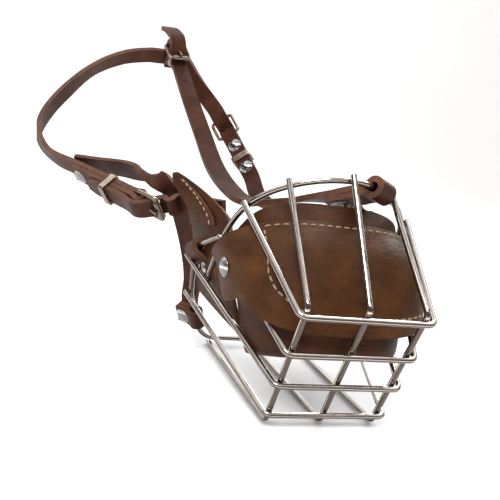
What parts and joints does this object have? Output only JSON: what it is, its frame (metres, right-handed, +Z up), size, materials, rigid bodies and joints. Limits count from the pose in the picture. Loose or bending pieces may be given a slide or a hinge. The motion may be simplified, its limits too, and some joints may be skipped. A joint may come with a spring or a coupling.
{
  "type": "basket muzzle",
  "caption": "Wire basket muzzle for a short-nosed dog, with a leather nose lining, cheek pads and a buckled leather strap harness.",
  "frame": {"origin": "on the plane of symmetry of the cage (X = 0), on the face it stands on (Z = 0), 57 mm behind the front of the bottom band wire", "axes": "+Z up, -Y out of the nose of the cage, +Y towards the harness, X across the cage"},
  "size_m": [0.2128, 0.2999, 0.2155],
  "materials": {
    "cage_wire": "polished plating on steel wire",
    "rivet_nickel": "domed and polished",
    "buckle_nickel": "worn nickel plate",
    "lining_leather": "soft pebbled grain",
    "strap_leather": "smooth oiled strap leather"
  },
  "bodies": {
    "cage": {"band_wire_1_top": "cage_wire", "band_wire_2": "cage_wire", "band_wire_3": "cage_wire", "band_wire_4_bottom": "cage_wire", "cheek_facing_left": "strap_leather", "cheek_facing_right": "strap_leather", "cheek_pad_left": "lining_leather", "cheek_pad_right": "lining_leather", "forehead_loop": "strap_leather", "forehead_loop_rivet": "rivet_nickel", "left_cheek_root": "strap_leather", "nose_arch_wire": "cage_wire", "nose_liner": "lining_leather", "nose_patch": "strap_leather", "patch_rivets": "rivet_nickel", "right_cheek_root": "strap_leather", "rim_loop": "strap_leather", "side_tab_left": "strap_leather", "side_tab_right": "strap_leather", "side_tab_rivets": "rivet_nickel", "spine_wire_centre": "cage_wire", "spine_wire_left": "cage_wire", "spine_wire_right": "cage_wire", "throat_rim_wire": "cage_wire", "throat_strap_lower": "strap_leather", "throat_strap_rivets": "rivet_nickel"},
    "harness": {"neck_strap": "strap_leather", "crown_carrier": "strap_leather", "forehead_strap": "strap_leather", "left_cheek_billet": "strap_leather", "right_cheek_strap": "strap_leather", "throat_strap_upper": "strap_leather", "neck_strap_rivets": "rivet_nickel", "right_strap_rivets": "rivet_nickel", "crown_rivets": "rivet_nickel", "left_buckle_frame": "buckle_nickel", "right_buckle_frame": "buckle_nickel", "crown_buckle_frame": "buckle_nickel"},
    "left_tongue": {"left_buckle_tongue": "buckle_nickel"},
    "left_roller": {"left_buckle_roller": "buckle_nickel"},
    "right_tongue": {"right_buckle_tongue": "buckle_nickel"},
    "right_roller": {"right_buckle_roller": "buckle_nickel"},
    "crown_tongue": {"crown_buckle_tongue": "buckle_nickel"},
    "crown_roller": {"crown_buckle_roller": "buckle_nickel"},
    "left_keeper": {"left_keeper": "buckle_nickel"},
    "right_keeper": {"right_keeper": "buckle_nickel"}
  },
  "joints": [
    {"name": "harness_swing", "type": "hinge", "parent": "cage", "child": "harness", "pos_m": [0, 0.03, 0.092], "axis": [1, 0, 0], "range_deg": [-12, 12]},
    {"name": "left_tongue_hinge", "type": "hinge", "parent": "harness", "child": "left_tongue", "pos_m": [-0.08334, 0.0544, 0.08749], "axis": [0.4723, 0.4863, -0.7351], "range_deg": [0, 10]},
    {"name": "left_roller_spin", "type": "hinge", "parent": "harness", "child": "left_roller", "pos_m": [-0.07466, 0.0424, 0.08511], "axis": [0.4723, 0.4863, -0.7351], "continuous": true},
    {"name": "right_tongue_hinge", "type": "hinge", "parent": "harness", "child": "right_tongue", "pos_m": [-0.00637, 0.15926, 0.13481], "axis": [-0.7267, 0.2823, -0.6263], "range_deg": [0, 10]},
    {"name": "right_roller_spin", "type": "hinge", "parent": "harness", "child": "right_roller", "pos_m": [-0.01163, 0.16874, 0.14519], "axis": [-0.7267, 0.2823, -0.6263], "continuous": true},
    {"name": "crown_tongue_hinge", "type": "hinge", "parent": "harness", "child": "crown_tongue", "pos_m": [-0.05001, 0.19692, 0.19797], "axis": [-0.9784, -0.1816, -0.0983], "range_deg": [0, 10]},
    {"name": "crown_roller_spin", "type": "hinge", "parent": "harness", "child": "crown_roller", "pos_m": [-0.047, 0.18608, 0.18804], "axis": [-0.9784, -0.1816, -0.0983], "continuous": true},
    {"name": "left_keeper_slide", "type": "slide", "parent": "harness", "child": "left_keeper", "axis": [0.5781, -0.8005, -0.1581], "range_m": [-0.002, 0.002]},
    {"name": "right_keeper_slide", "type": "slide", "parent": "harness", "child": "right_keeper", "axis": [-0.3508, 0.6314, 0.6916], "range_m": [-0.002, 0.002]}
  ]
}
